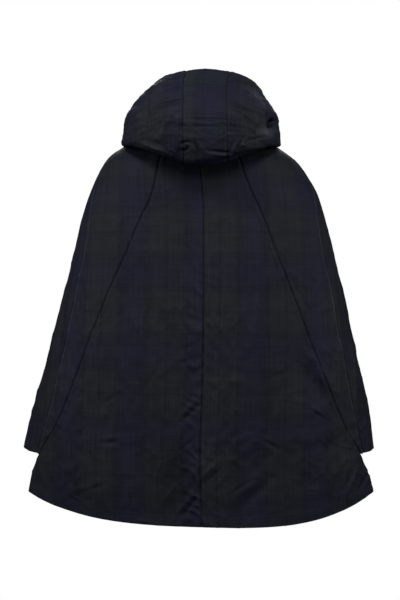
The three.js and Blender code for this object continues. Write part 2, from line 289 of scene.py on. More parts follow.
def hood_relief(angle, along):
    """Height of the hood's dents and swells: each a bell around and a bell along."""
    total = np.zeros_like(angle)
    for at, place, wide, long, depth in DENTS:
        total += depth * bell((angle - at) / wide) * bell((along - place) / long)
    return total


def body_surface(angle, drop, lift=0.0):
    """The cape's outer face: the base moved out along its normal by the folds and a lift."""
    normal = base_normal(body_base, angle, drop, -1)
    return body_base(angle, drop) + normal * (body_relief(angle, drop) + lift)[..., None]


def hood_surface(angle, along):
    """The hood's outer face: the base moved out by its dents, and a seam's gap off the cape at the neck."""
    normal = base_normal(hood_base, angle, along, 1)
    neck = base_normal(body_base, angle, 0 * along, -1) * (SEAM_GAP * bell(along / 30))[..., None]
    return hood_base(angle, along) + normal * hood_relief(angle, along)[..., None] + neck


def seam_angle(x, side_x):
    """Angle where a ring with its side at side_x passes x: the arc sine of their ratio."""
    return np.degrees(np.arcsin(np.minimum(1, x / side_x)))


def raglan_seam(drop, side=0):
    """Angle of the slanted back seam, as in the plain model or shifted as it runs on one side."""
    shift = SLANT("right", drop) if side > 0 else SLANT("left", drop) if side < 0 else 0
    return seam_angle(SEAMS("raglan_x", drop) + shift, BODY("side_x", drop))


def overarm_seam(drop):
    """Angle of the seam over the arm."""
    return SEAMS("overarm", drop)


def front_seam(drop):
    """Angle of the slanted front seam."""
    return 180 - seam_angle(SEAMS("front_x", drop), BODY("side_x", drop))


def centre_back(drop):
    return 0 * drop


def centre_front(drop):
    return 180 + 0 * drop


def tail_hem(side):
    """The tail's hem: level at the centre back, rising to its corners, a little lower on the right."""
    corner = math.sin(math.radians(float(raglan_seam(np.array(float(TAIL_DROP - TAIL_RISE))))))

    def drop(angle):
        share = np.sin(np.radians(angle)) / corner
        swing = side * TAIL_SWING * 2.6 * share * (1 - share * share)
        return TAIL_DROP - TAIL_RISE * share**TAIL_CURVE + swing

    return drop


def side_hem(angle):
    """Drop of the hem of the wings and the fronts."""
    return FRONT_HEM("drop", angle)


def vent_level(angle):
    """Drop of the vent's top, where the long triangles end."""
    return VENT_DROP + 0 * angle


def closer_at_ends(count, closeness):
    """count + 1 shares from 0 to 1 that stand closer at both ends."""
    t = np.linspace(0, 1, count + 1)
    return t - closeness * np.sin(2 * math.pi * t) / (2 * math.pi)



def look_up(values, step_a, step_b, a, b):
    """Reads a grid of values at places a and b, straight between the four nearest."""
    i = np.clip(a / step_a, 0, values.shape[0] - 1.001)
    j = np.clip(b / step_b, 0, values.shape[1] - 1.001)
    i0, j0 = i.astype(int), j.astype(int)
    s, t = i - i0, j - j0
    top = values[i0, j0] * (1 - s) + values[i0 + 1, j0] * s
    foot = values[i0, j0 + 1] * (1 - s) + values[i0 + 1, j0 + 1] * s
    return top * (1 - t) + foot * t


def running_length(points, axis):
    """Distance gone along one axis of a grid of points."""
    steps = np.linalg.norm(np.diff(points, axis=axis), axis=-1)
    pad = [(0, 0), (0, 0)]
    pad[axis] = (1, 0)
    return np.cumsum(np.pad(steps, pad), axis=axis)


def around_lengths(base, highest):
    """Length over the cloth from the centre back, by angle and by place."""
    angle, place = np.meshgrid(np.arange(0, 181.0), np.arange(0, highest + 1.0, 5), indexing="ij")
    return running_length(base(angle, place), 0)


def upright_lengths(ahead):
    """Length down the cloth along upright lines, by distance from the middle and by drop: 240 at drop 240."""
    x, drop = np.meshgrid(np.arange(0, 381.0, 4), np.arange(0, 801.0, 4), indexing="ij")
    angle = seam_angle(x, BODY("side_x", drop))
    points = body_base(180 - angle if ahead else angle, drop)
    length = running_length(points, 1)
    return length - length[:, 60:61] + 240


BODY_AROUND = around_lengths(body_base, 800)
HOOD_AROUND = around_lengths(hood_base, RIM + 7)
BACK_UPRIGHT = upright_lengths(False)
FRONT_UPRIGHT = upright_lengths(True)


def around(table, angle, place):
    """Length over the cloth from the centre back, positive on the right and negative on the left."""
    turn = np.where(angle > 180, 360 - angle, angle)
    return np.sign(turn) * look_up(table, 1, 5, np.abs(turn), place)


def body_cloth_place(angle, drop, part):
    """Place in the check: along the weft from the centre back or front, and along the warp downwards."""
    u = around(BODY_AROUND, angle, drop)
    if part == "raglan_front":
        return u, look_up(BACK_UPRIGHT, 4, 4, np.full_like(drop, 380.0), drop)
    x = np.abs(BODY("side_x", drop) * np.sin(np.radians(angle)))
    if part in ("back", "raglan_back"):
        return u, look_up(BACK_UPRIGHT, 4, 4, x, drop)
    whole = look_up(BODY_AROUND, 1, 5, np.full_like(drop, 180.0), drop)
    from_front = np.where(angle > 180, whole - np.abs(u), u - np.sign(u) * whole)
    return from_front, look_up(FRONT_UPRIGHT, 4, 4, x, drop)


# Meshes


class Cloth:
    """One piece of cloth on a grid: outer points, place in the check, and lengths to its four edges."""

    def __init__(self, points, facing, place=None):
        self.facing, self.place = facing, place
        self.base = points
        self.near = running_length(points, 1)
        self.far = self.near[:, -1:] - self.near
        self.top = running_length(points, 0)
        self.foot = self.top[-1:, :] - self.top
        self.points = points
        self.height = np.zeros(points.shape[:2])

    def normals(self):
        """Outward normals: the cross product of the steps around and down."""
        around_step = np.gradient(self.points, axis=1)
        down_step = np.gradient(self.points, axis=0)
        return unit(np.cross(around_step, down_step)) * self.facing

    def raise_by(self, height):
        """Moves the outer face out by a height at each point."""
        self.height = self.height + height
        self.points = self.points + self.normals() * height[..., None]

    def line(self, edge, inset):
        """Points and normals of a line beside one edge, where the length to that edge equals the inset."""
        length = getattr(self, edge)
        points, normals = self.points, self.normals()
        if edge == "foot":
            length, points, normals = length.T, points.transpose(1, 0, 2), normals.transpose(1, 0, 2)
        if edge in ("far", "foot"):
            length, points, normals = length[:, ::-1], points[:, ::-1], normals[:, ::-1]
        rows = np.arange(len(length))
        at = np.clip((length < inset).sum(1), 1, length.shape[1] - 1)
        low, high = length[rows, at - 1], length[rows, at]
        t = np.clip((inset - low) / np.maximum(high - low, 1e-6), 0, 1)[:, None]
        here = points[rows, at - 1] * (1 - t) + points[rows, at] * t
        return here, unit(normals[rows, at - 1] * (1 - t) + normals[rows, at] * t)


def put_mesh(name, points, faces, materials):
    """A mesh object at the origin from points in millimetres and faces of three or four corners."""
    mesh = bpy.data.meshes.new(name)
    count, sides = faces.shape
    mesh.vertices.add(len(points))
    mesh.vertices.foreach_set("co", (points * MM).astype(np.float32).ravel())
    mesh.loops.add(count * sides)
    mesh.loops.foreach_set("vertex_index", faces.astype(np.int32).ravel())
    mesh.polygons.add(count)
    mesh.polygons.foreach_set("loop_start", np.arange(0, count * sides, sides, dtype=np.int32))
    mesh.update(calc_edges=True)
    for material in materials:
        mesh.materials.append(material)
    thing = bpy.data.objects.new(name, mesh)
    bpy.context.scene.collection.objects.link(thing)
    return thing


def shell(name, cloth, wall, worn, materials):
    """The closed shell of a piece: outer face, inner face one wall further in, and the four edges between."""
    rows, columns = cloth.points.shape[:2]
    size = rows * columns
    inner = cloth.points - cloth.normals() * wall[..., None]
    points = np.concatenate([cloth.points.reshape(-1, 3), inner.reshape(-1, 3)])
    index = np.arange(size).reshape(rows, columns)

    def quads(a, b, c, d):
        return np.stack([a, b, c, d], -1).reshape(-1, 4)

    a, b, c, d = index[:-1, :-1], index[1:, :-1], index[1:, 1:], index[:-1, 1:]
    outer_face = quads(a, b, c, d)
    inner_face = quads(a, d, c, b) + size
    head, foot = index[0], index[-1]
    left, right = index[:, 0], index[:, -1]
    edges = np.concatenate(
        [
            quads(head[:-1], head[1:], head[1:] + size, head[:-1] + size),
            quads(foot[1:], foot[:-1], foot[:-1] + size, foot[1:] + size),
            quads(left[1:], left[:-1], left[:-1] + size, left[1:] + size),
            quads(right[:-1], right[1:], right[1:] + size, right[:-1] + size),
        ]
    )
    faces = np.concatenate([outer_face, edges, inner_face])
    if cloth.facing > 0:
        faces = faces[:, ::-1]
    thing = put_mesh(name, points, faces, materials)
    mesh = thing.data
    smooth_faces = np.ones(len(faces), bool)
    smooth_faces[len(outer_face) : len(outer_face) + len(edges)] = False
    mesh.polygons.foreach_set("use_smooth", smooth_faces)
    slots = np.zeros(len(faces), np.int32)
    slots[len(outer_face) + len(edges) :] = 1
    mesh.polygons.foreach_set("material_index", slots)
    spots = np.stack(cloth.place, -1).reshape(-1, 2) * MM
    uv = mesh.uv_layers.new(name="cloth")
    uv.data.foreach_set("uv", spots[faces.ravel() % size].astype(np.float32).ravel())
    # painted light and shade for each point, which the cloth's material turns into paler or darker colour
    marks = mesh.attributes.new("worn", "FLOAT", "POINT")
    marks.data.foreach_set("value", np.tile(worn.ravel(), 2).astype(np.float32))
    mesh.update()
    return thing


def stitch_row(lines, pitch, size):
    """Stitches laid end to end along lines: each a small spindle with its two tips down in the cloth."""
    centres, ahead, out = [], [], []
    for points, normals in lines:
        gone = np.concatenate([[0], np.cumsum(np.linalg.norm(np.diff(points, axis=0), axis=1))])
        at = np.arange(pitch, gone[-1] - pitch, pitch)
        if len(at) < 2:
            continue
        spot = np.stack([np.interp(at, gone, points[:, k]) for k in range(3)], -1)
        centres.append(spot)
        ahead.append(unit(np.gradient(spot, axis=0)))
        out.append(unit(np.stack([np.interp(at, gone, normals[:, k]) for k in range(3)], -1)))
    centres, ahead, out = np.concatenate(centres), np.concatenate(ahead), np.concatenate(out)
    aside = unit(np.cross(out, ahead))
    long, wide, high = size
    tips = [(-0.5, 0, -0.3), (0.5, 0, -0.3)]
    rings = [(s, w, h) for s in (-0.28, 0.28) for w, h in ((0.5, 0.1), (0, 1.0), (-0.5, 0.1), (0, -0.5))]
    form = np.array(tips + rings) * (long, wide, high)
    points = centres[:, None] + ahead[:, None] * form[:, :1]
    points = points + aside[:, None] * form[:, 1:2] + out[:, None] * form[:, 2:]
    faces = []
    for k in range(4):
        n = (k + 1) % 4
        faces += [(0, 2 + k, 2 + n), (1, 6 + n, 6 + k), (2 + k, 6 + k, 6 + n), (2 + k, 6 + n, 2 + n)]
    faces = np.array(faces)
    every = faces[None] + (np.arange(len(centres)) * len(form))[:, None, None]
    return points.reshape(-1, 3), every.reshape(-1, 3)


# Materials


class Value:
    """One number in a shader, so that shader maths reads as ordinary maths."""

    def __init__(self, nodes, socket):
        self.nodes, self.socket = nodes, socket

    def _do(self, operation, *others):
        return self.nodes.value("Math", {"operation": operation}, [self, *others])

    def __add__(self, other):
        return self._do("ADD", other)

    def __sub__(self, other):
        return self._do("SUBTRACT", other)

    def __rsub__(self, other):
        return self.nodes.value("Math", {"operation": "SUBTRACT"}, [other, self])

    def __mul__(self, other):
        return self._do("MULTIPLY", other)

    def __truediv__(self, other):
        return self._do("DIVIDE", other)

    __radd__, __rmul__ = __add__, __mul__

    def fraction(self):
        return self._do("FRACT")

    def size(self):
        return self._do("ABSOLUTE")

    def wave(self):
        return self._do("SINE")

    def ramp(self, low, high, to_low=0.0, to_high=1.0):
        """Goes smoothly from to_low to to_high as the value goes from low to high."""
        settings = {"interpolation_type": "SMOOTHSTEP"}
        return self.nodes.value("MapRange", settings, [self, low, high, to_low, to_high])


class Nodes:
    """Adds nodes to a material or a surround, and links what they are given."""

    def __init__(self, owner):
        owner.use_nodes = True
        self.owner, self.tree = owner, owner.node_tree
        self.tree.nodes.clear()

    def add(self, kind, settings=None, inputs=()):
        """One node of a kind, with its settings, and with its inputs set or linked by name or in order."""
        node = self.tree.nodes.new("ShaderNode" + kind)
        for key, value in (settings or {}).items():
            setattr(node, key, value)
        for key, value in inputs.items() if isinstance(inputs, dict) else enumerate(inputs):
            source = value.socket if isinstance(value, Value) else value
            if isinstance(source, bpy.types.NodeSocket):
                self.tree.links.new(source, node.inputs[key])
            else:
                node.inputs[key].default_value = source
        return node

    def value(self, kind, settings=None, inputs=(), output=0):
        return Value(self, self.add(kind, settings, inputs).outputs[output])

    def mix(self, factor, first, second):
        """Colour that goes from first to second with the factor."""
        node = self.add("Mix", {"data_type": "RGBA"}, {0: factor, 6: first, 7: second})
        return node.outputs[2]

    def tint(self, colour, amount):
        """Colour times a number that varies over the cloth."""
        grey = self.add("CombineXYZ", {}, [amount, amount, amount]).outputs[0]
        return self.add("VectorMath", {"operation": "MULTIPLY"}, [colour, grey]).outputs[0]

    def noise(self, where, scale, detail=2.0, rough=0.5):
        inputs = {"Vector": where, "Scale": scale, "Detail": detail, "Roughness": rough}
        return self.value("TexNoise", {}, inputs)

    def stretched_noise(self, where, stretch, scale, detail, rough=0.5):
        """Noise over places in the cloth stretched by a factor across and a factor down."""
        inputs = {"Vector": where, "Scale": (*stretch, 1.0)}
        places = self.add("Mapping", {"vector_type": "POINT"}, inputs).outputs[0]
        return self.noise(places, scale, detail, rough)

    def surface(self, inputs, height=None, strength=0.5):
        """Ends in a principled surface, with a bump from the height, and gives what owns the nodes."""
        if height is not None:
            bump = self.add("Bump", {}, {"Strength": strength, "Distance": 1.0, "Height": height})
            inputs = {**inputs, "Normal": bump.outputs[0]}
        shader = self.add("BsdfPrincipled", {}, inputs)
        self.add("OutputMaterial", {}, {"Surface": shader.outputs[0]})
        return self.owner


def stripes(place, period, start):
    """How far a thread is from the nearest navy middle, from minus half to half, in periods of the check."""
    return ((place - start) / period + 0.5).fraction() - 0.5


def cloth_material(name, looks, start, lean):
    """Dark check in a fine twill.

    Each thread has one colour by its place in the sett: navy in the middle with two black lines, then black,
    then green with one black line. Warp and weft take turns on top in a twill, so where two colours cross
    they mix. Broad clouds and fine thread streaks vary the colour, painted highlights on raised cloth make it
    paler and painted shade in hollows and seams makes it darker, and the twill and a fine crumple give the
    relief.
    """
    nodes = Nodes(bpy.data.materials.new(name))
    where = nodes.add("UVMap", {"uv_map": "cloth"}).outputs[0]
    split = nodes.add("SeparateXYZ", {}, [where])
    u, v = Value(nodes, split.outputs[0]), Value(nodes, split.outputs[1])
    leaning = [c * k for c, k in zip(looks.green, lean)]
    navy, green, black = (tuple(c) + (1.0,) for c in (looks.navy, leaning, looks.black))

    def threads(place, period, begin):
        d = stripes(place, period, begin).size()
        colour = nodes.mix(d.ramp(0.18, 0.235), navy, green)
        dark = d.ramp(0.155, 0.165) * (1 - d.ramp(0.245, 0.26))
        outer_line = d.ramp(0.082, 0.086) * (1 - d.ramp(0.098, 0.102))
        lines = outer_line + d.ramp(0.118, 0.122) * (1 - d.ramp(0.132, 0.136))
        middle = d.ramp(0.478, 0.484)
        return nodes.mix((dark * 0.85 + lines * 0.8 + middle * 0.75) * looks.lines, colour, black)

    warp = threads(u, looks.sett_across, start[0])
    weft = threads(v, looks.sett_down, start[1])
    twill = (((u + v) * (2 * math.pi / looks.twill)).wave() * 0.5 + 0.5).ramp(0.25, 0.75)
    check = nodes.mix(twill * 0.56 + 0.13, warp, weft)

    cloud = nodes.noise(where, 6.0, 3.0, 0.55)
    ways = ((900.0, 12.0), (12.0, 900.0))
    streaks_u, streaks_v = (nodes.stretched_noise(where, way, 1.0, 1.0) for way in ways)
    bands_u, bands_v = (nodes.stretched_noise(where, way, 1.0, 2.0) for way in ((230.0, 5.0), (5.0, 230.0)))
    # painted light and shade from the mesh: painted highlights make the colour paler and a little glossier,
    # painted shade makes it darker
    worn = nodes.value("Attribute", {"attribute_name": "worn"}, output=2)
    amount = cloud.ramp(0.25, 0.75, 0.9, 1.1) * (1.0 + (streaks_u + streaks_v - 1.0) * 0.7)
    amount = amount * (1.0 + (bands_u * 0.65 + bands_v * 0.35 - 0.5) * 0.7)
    amount = amount * (1.0 + worn * 0.45)
    colour = nodes.tint(check, amount)

    crumple = nodes.stretched_noise(where, (1.0, 0.6), 42.0, 4.0, 0.6)
    slub = streaks_u * 0.5 + streaks_v * 0.5
    rough = cloud * 0.12 + looks.roughness + slub * 0.08 - 0.1 - worn * 0.05
    height = twill * 0.00006 + slub * 0.00005 + crumple * 0.0018
    inputs = {"Base Color": colour, "Roughness": rough, "Specular IOR Level": looks.gloss}
    return nodes.surface(inputs, height)


def reverse_material(name, looks):
    """The coated inside of the cloth: plain charcoal with a faint grain and soft clouds."""
    nodes = Nodes(bpy.data.materials.new(name))
    where = nodes.add("UVMap", {"uv_map": "cloth"}).outputs[0]
    cloud = nodes.noise(where, 9.0, 3.0)
    grain = nodes.noise(where, 1500.0, 2.0)
    amount = cloud.ramp(0.3, 0.7, 0.85, 1.15) * (grain * 0.4 + 0.8)
    colour = nodes.tint(tuple(looks.reverse), amount)
    inputs = {"Base Color": colour, "Roughness": grain * 0.1 + 0.55, "Specular IOR Level": 0.25}
    return nodes.surface(inputs, grain * 0.00008 + cloud * 0.002, 0.4)


def thread_material(name, looks):
    """Sewing thread: fine twisted plies on each stitch, and a colour that varies a little along the row."""
    nodes = Nodes(bpy.data.materials.new(name))
    where = nodes.add("TexCoord").outputs["Object"]
    vary = nodes.noise(where, 160.0, 1.0)
    ply = nodes.noise(where, 3500.0, 1.0)
    colour = nodes.tint(tuple(looks.thread), vary.ramp(0.3, 0.7, 0.75, 1.25) * (ply * 0.5 + 0.75))
    inputs = {"Base Color": colour, "Roughness": ply * 0.1 + 0.45, "Specular IOR Level": 0.4}
    return nodes.surface(inputs, ply * 0.0001)


# where the check's navy middles lie on each cut of cloth, across and down, and how its green leans
CUTS = {
    "left_cloth": ((-0.006, 0.130), (1.0, 1.0, 1.0)),
    "right_cloth": ((-0.034, 0.130), (1.0, 1.0, 1.0)),
    "hood_left_cloth": ((-0.045, 0.052), (1.02, 1.0, 0.98)),
    "hood_right_cloth": ((0.045, 0.052), (1.02, 1.0, 0.98)),
    "hood_strip_cloth": ((0.017, 0.083), (1.0, 1.16, 1.06)),
}


def material(key):
    """The material for a key, made the first time it is asked for."""
    looks = bpy.context.scene.cape_looks
    made = bpy.data.materials.get(key)
    if made:
        return made
    if key == "cape_reverse":
        return reverse_material(key, looks)
    if key == "cape_thread":
        return thread_material(key, looks)
    return cloth_material(key, looks, *CUTS[key])


# Pieces


def drop_rows(down, foot):
    """Rows that are level down to the vent's height and then bend to follow the hem."""
    level = (0.55 * down + 0.45 * down**2) * VENT_DROP
    return level + (foot - VENT_DROP) * smooth((down - 0.75) / 0.25)


def body_grid(side, near_seam, far_seam, foot_angles, hem, rows, columns, tail=False):
    """Angles and drops of a body piece's grid, from the neckline to its hem and between two seams."""
    down = closer_at_ends(rows, 0.55)[:, None]
    across = closer_at_ends(columns, 0.72)[None, :]
    share = across if side > 0 else 1 - across
    foot = hem(foot_angles[0] + (foot_angles[1] - foot_angles[0]) * share)
    if tail:
        stretch, bend = (0.6 * down + 0.4 * down**2) * foot.mean(), VENT_DROP * 0.9
        drop = stretch + (foot - foot.mean()) * smooth((stretch - bend) / (foot.mean() - bend))
    else:
        drop = drop_rows(down, foot)
    near, far = near_seam(drop), far_seam(drop)
    middle = (near + far) / 2
    width = np.linalg.norm(body_base(middle + 0.5, drop) - body_base(middle - 0.5, drop), axis=-1)
    lap = SEAM_LAP / width
    angle = near - lap + (far - near + 2 * lap) * share
    return side * angle, drop


def seam_roll(cloth, edges, deep):
    """Cloth turns down into each seam: a groove that is deepest at the edge."""
    height = np.zeros_like(cloth.height)
    for edge in edges:
        height -= deep * bell(getattr(cloth, edge) / 2.3)
    return height


def seam_ply(cloth, edges, high, width=9.0):
    """The seam allowance under the cloth lifts it beside a seam, with the topstitch sunk along its middle."""
    height = np.zeros_like(cloth.height)
    for edge in edges:
        d = getattr(cloth, edge)
        height += high * smooth((d - 0.8) / 2.6) * (1 - smooth((d - width) / 3.2))
        height -= 0.5 * high * bell((d - width * 0.72) / 0.9)
    return height


def hem_turn(cloth, depth, high=0.5):
    """A turned hem: the cloth is thicker up to its stitch line, which sinks in, and puckers across it."""
    d = cloth.foot
    pucker = 1 + 0.5 * lattice(cloth.near / 7.0, d / 30.0, 5)
    return high * (1 - smooth((d - depth) / 3)) - 0.7 * high * bell((d - depth + 2.0) / 1.3) * pucker


def seam_puckers(cloth, edge, seed, high=0.35, reach=14.0, pitch=8.0):
    """Small gathers that start at a seam and die out away from it."""
    d = getattr(cloth, edge)
    return high * np.exp(-d / reach) * lattice(cloth.top / pitch, d / 40.0, seed) * smooth(d / 2)


def body_crumple(angle, drop):
    """Soft waves and crisp creases of thin cloth, the same on both sides of a seam.

    They are worked out along the ring from the centre back and by drop. Creases are the zero lines of noise
    that is itself bent by noise. They lean, gather in patches and grow towards the hem.
    """
    u, v = around(BODY_AROUND, angle, drop), drop
    loose = 0.45 + 0.55 * smooth((drop - 80) / 420)
    waves = 1.9 * lattice(u / 75 + 9, v / 190 + 4, 11) + 1.3 * lattice(u / 34 + 3, v / 72 + 7, 12)
    small = 0.5 * lattice(u / 15 + 5, v / 22 + 1, 13)
    bent_u = u + 16 * lattice(u / 50 + 1, v / 50 + 2, 16)
    bent_v = v + 16 * lattice(u / 46 + 6, v / 55 + 8, 17)
    patch = 0.25 + 0.9 * smooth(0.5 + 1.5 * lattice(u / 95 + 3, v / 85 + 5, 18))
    crisp = crease_noise((bent_u + bent_v * 0.4) / 64 + 2, (bent_v - bent_u * 0.35) / 96 + 6, 14)
    fine = crease_noise((bent_u - bent_v * 0.5) / 30 + 8, (bent_v + bent_u * 0.35) / 38 + 3, 15)
    return loose * (waves + 1.9 * small + 1.5 * crisp * patch + 1.1 * fine * patch)


# x, z, half length, half width, direction in degrees above level, depth: creases of the back that stand out
BACK_CREASES = [
    (106, -706, 46, 9, 43, -2.6),
    (92, -690, 40, 7, 43, 1.4),
    (131, -617, 16, 3.0, -28, -1.6),
    (134, -610, 18, 4.0, -28, 1.0),
    (218, -500, 52, 13, -56, -3.2),
    (236, -486, 44, 10, -56, 1.6),
    (144, -484, 14, 3.0, 20, -1.4),
    (150, -476, 12, 3.0, 35, 1.2),
    (222, -555, 14, 3.5, -35, 1.8),
    (226, -562, 14, 3.0, -35, -1.4),
    (132, -560, 24, 5.0, 84, -2.0),
    (142, -556, 20, 4.5, 80, 1.3),
    (16, -662, 24, 4.0, 45, 1.9),
    (24, -672, 22, 3.5, 45, -1.9),
    (36, -684, 20, 4.0, 50, 1.4),
    (75, -696, 22, 3.5, 30, -1.8),
    (62, -700, 18, 3.5, 36, 1.2),
    (282, -690, 24, 3.5, 66, -1.9),
    (292, -688, 22, 3.5, 66, 1.5),
    (314, -694, 18, 3.0, 62, -1.6),
    (322, -690, 16, 3.0, 62, 1.4),
    (248, -622, 30, 16, 10, -2.2),
    (-26, -430, 14, 2.6, 24, -1.6),
    (-32, -458, 13, 2.6, 20, -1.5),
    (-22, -556, 26, 3.4, 45, -2.0),
    (-28, -548, 22, 3.4, 45, 1.3),
    (-26, -614, 16, 3.4, 40, -1.5),
    (-24, -734, 30, 4.0, 50, -2.0),
    (-34, -728, 26, 4.0, 50, 1.5),
    (-178, -532, 12, 3.0, 38, -1.5),
    (-176, -560, 22, 6.0, 80, -1.8),
    (-172, -604, 16, 3.0, 6, 1.3),
    (-178, -614, 16, 3.0, 4, -1.4),
    (-236, -678, 9, 3.0, 75, 2.0),
    (-142, -734, 24, 3.5, 62, -1.7),
    (-84, -664, 18, 3.5, 70, 1.6),
    (-92, -668, 18, 3.5, 70, -1.4),
    (-60, -705, 22, 4.0, 55, 1.4),
    (-205, -700, 26, 4.0, 20, -1.1),
    (60, -430, 20, 3.5, 60, 1.1),
    (-48, -690, 80, 24, 86, -5.0),
    (-110, -360, 30, 5.0, 70, 1.0),
    (190, -330, 26, 4.5, -62, -1.2),
    (-92, -480, 26, 4.0, 60, -1.1),
]


def crease_marks(creases, cloth):
    """Separate creases: each a bell along its own slant times a narrower bell across it."""
    x, z = cloth.base[..., 0], cloth.base[..., 2]
    total = np.zeros_like(x)
    for cx, cz, long, wide, slant, depth in creases:
        c, s = math.cos(math.radians(slant)), math.sin(math.radians(slant))
        ahead = (x - cx) * c + (z - cz) * s
        aside = (z - cz) * c - (x - cx) * s
        total += depth * bell(ahead / long) * bell(aside / wide)
    return total


def drag_lines(cloth, drop, side):
    """Drag lines beside the centre-back seam, strong on the left: a sine at a slant, bent by noise."""
    x, z = cloth.base[..., 0], cloth.base[..., 2]
    strength = 2.5 if side < 0 else 0.8
    d = cloth.far if side < 0 else cloth.near
    window = smooth(d / 5) * (1 - smooth((d - 20) / 22)) * smooth((drop - 190) / 120)
    slant = math.radians(36)
    run = (x * math.sin(slant) + z * math.cos(slant)) / 21.0 + 1.1 * lattice(x / 45 + 2, z / 60 + 5, 31)
    gate = 0.25 + 0.9 * smooth(0.5 + 1.6 * lattice(x / 60 + 7, z / 34 + 1, 32))
    ridge = (0.5 + 0.5 * np.sin(2 * math.pi * run)) ** 2.2 - 0.35
    return strength * window * gate * ridge


# x, z, half length, half width, direction in degrees above level, strength: painted highlights, where the
# hood is made paler to stand for light catching its upper right edge and its swells
PAINTED_HIGHLIGHTS = [
    (105, 55, 16, 6.5, -47, 3.6),
    (117, 39, 12, 5, -56, 2.2),
    (124, -23, 16, 12, 30, 2.9),
    (-62, 30, 26, 4, 16, 0.25),
    (72, 24, 16, 3, -20, 0.3),
]


def painted_light_marks(cloth, edges, ridge):
    """Painted light and shade: above 0 for painted highlights on raised cloth, the felled ridge and patches
    of the hood, below 0 for painted shade in hollows, the foot of a crease and the turn of a seam, and a
    little above 0 along a hem's edge.
    """
    height = cloth.height
    # painted highlight where the cloth is raised, painted shade where it sinks into a hollow
    total = 0.5 * np.clip((height - 0.8) / 3, 0, 1) - 0.5 * np.clip((-0.8 - height) / 5, 0, 1)
    # deeper painted shade in the deepest hollows, such as the hood's dent
    total -= 1.1 * np.clip((-9 - height) / 5, 0, 1)
    # painted shade in the turn of each seam, and a little paler along a hem's edge
    for name in edges:
        d = getattr(cloth, name)
        total += (0.1 if name == "foot" else -0.7) * bell(d / 1.7)
    # painted highlight along the felled ridge
    if ridge:
        total += 2.8 * bell((getattr(cloth, ridge) - RIDGE_INSET) / 1.7)
    # painted highlight patches on the back of the hood
    if cloth.facing > 0:
        total += crease_marks(PAINTED_HIGHLIGHTS, cloth) * smooth((-cloth.base[..., 1] - 50) / 30)
    return np.clip(total, -1.6, 3)


def cut(part, side):
    """The cut of cloth that a piece comes from. The fly comes from the right one."""
    if part == "hood_strip":
        return "hood_strip_cloth"
    return ("hood_" if part == "hood_side" else "") + ("left_cloth" if side < 0 else "right_cloth")


def plies(cloth, edges):
    """How much thicker the wall is over the allowance beside each seam and over the turned hem."""
    foot = HEM_PLY * (cloth.foot < HEM) if "foot" in edges else 0
    return foot + sum(ALLOWANCE_PLY * (getattr(cloth, edge) < ALLOWANCE) for edge in edges if edge != "foot")


def finish_piece(part, side, cloth, edges, lines, extra, ridge=None):
    """Makes a piece's shell and its stitches, and says what they stand for in the frame."""
    size = bpy.context.scene.cape_sizes
    name = part + {0: "", RIGHT: "_right", LEFT: "_left"}[side]
    wall = size.wall / MM + extra + 0 * cloth.height
    both_faces = [material(cut(part, side)), material("cape_reverse")]
    thing = shell(name + "_cloth", cloth, wall, painted_light_marks(cloth, edges, ridge), both_faces)
    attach(thing, "root")
    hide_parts(name)
    rows = [cloth.line(edge, inset) for edge, inset in lines]
    points, faces = stitch_row(rows, size.stitch / MM, (size.stitch / MM * 0.8, 0.55, 0.34))
    sewn = put_mesh(name + "_stitches", points, faces, [material("cape_thread")])
    sewn.data.polygons.foreach_set("use_smooth", np.ones(len(faces), bool))
    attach(sewn, "root")


def body_cloth(part, side, near_seam, far_seam, feet, hem, rows, columns):
    """A body piece without relief, its drops and crumple, and its long edges, the one nearer the back first.

    The crumple is only worked out here. Each maker adds its own relief and then raises the cloth.
    """
    angle, drop = body_grid(side, near_seam, far_seam, feet, hem, rows, columns, part == "back")
    cloth = Cloth(body_surface(angle, drop), -1, body_cloth_place(angle, drop, part))
    edges = ("near", "far") if side > 0 else ("far", "near")
    return cloth, drop, body_crumple(angle, drop), *edges


def make_back(side):
    """One half of the back: from the neckline to the long rounded tail."""
    feet = (0, float(raglan_seam(np.array(float(TAIL_DROP - TAIL_RISE)))))
    cloth, drop, crumple, inner, outer = body_cloth(
        "back", side, centre_back, lambda d: raglan_seam(d, side), feet, tail_hem(side), 280, 120
    )
    above_vent = 1 - smooth((drop - VENT_DROP + 6) / 12)
    cloth.raise_by(crumple + 1.6 * crease_marks(BACK_CREASES, cloth) + drag_lines(cloth, drop, side))
    cloth.raise_by(
        seam_roll(cloth, [inner], SEAM_ROLL)
        + seam_roll(cloth, [outer], SEAM_ROLL) * above_vent
        + seam_ply(cloth, [inner] if side > 0 else [], 0.55)
        + seam_ply(cloth, [outer], 0.55)
        + hem_turn(cloth, HEM)
        + seam_puckers(cloth, inner, 21, 0.5)
        + seam_puckers(cloth, outer, 22, 0.45)
    )
    edges = [inner, outer, "foot"]
    lines = [(outer, SEAM_STITCH), ("foot", HEM_STITCH)] + [(inner, SEAM_STITCH)] * (side > 0)
    finish_piece("back", side, cloth, edges, lines, plies(cloth, edges))


def make_raglan_back(side):
    """The long triangle from the slanting back seam to the seam over the arm, with a felled ridge there."""
    cloth, _, crumple, inner, outer = body_cloth(
        "raglan_back", side, lambda d: raglan_seam(d, side), overarm_seam, (0, 0), vent_level, 200, 60
    )
    fit = smooth(np.minimum(cloth.near, cloth.far) / 6)
    outer_length = getattr(cloth, outer)
    cloth.raise_by(crumple + 1.6 * (crease_marks(BACK_CREASES, cloth) * smooth(outer_length / 14)))
    cloth.raise_by(
        seam_roll(cloth, ["near", "far"], SEAM_ROLL)
        + seam_ply(cloth, [outer], 0.4) * fit
        + 1.5 * bell((outer_length - RIDGE_INSET) / 1.6) * fit
        + seam_puckers(cloth, inner, 23, 0.45)
        + seam_puckers(cloth, outer, 24, 0.4)
    )
    edges = [inner, outer]
    finish_piece("raglan_back", side, cloth, edges, [(outer, SEAM_STITCH)], plies(cloth, edges), outer)


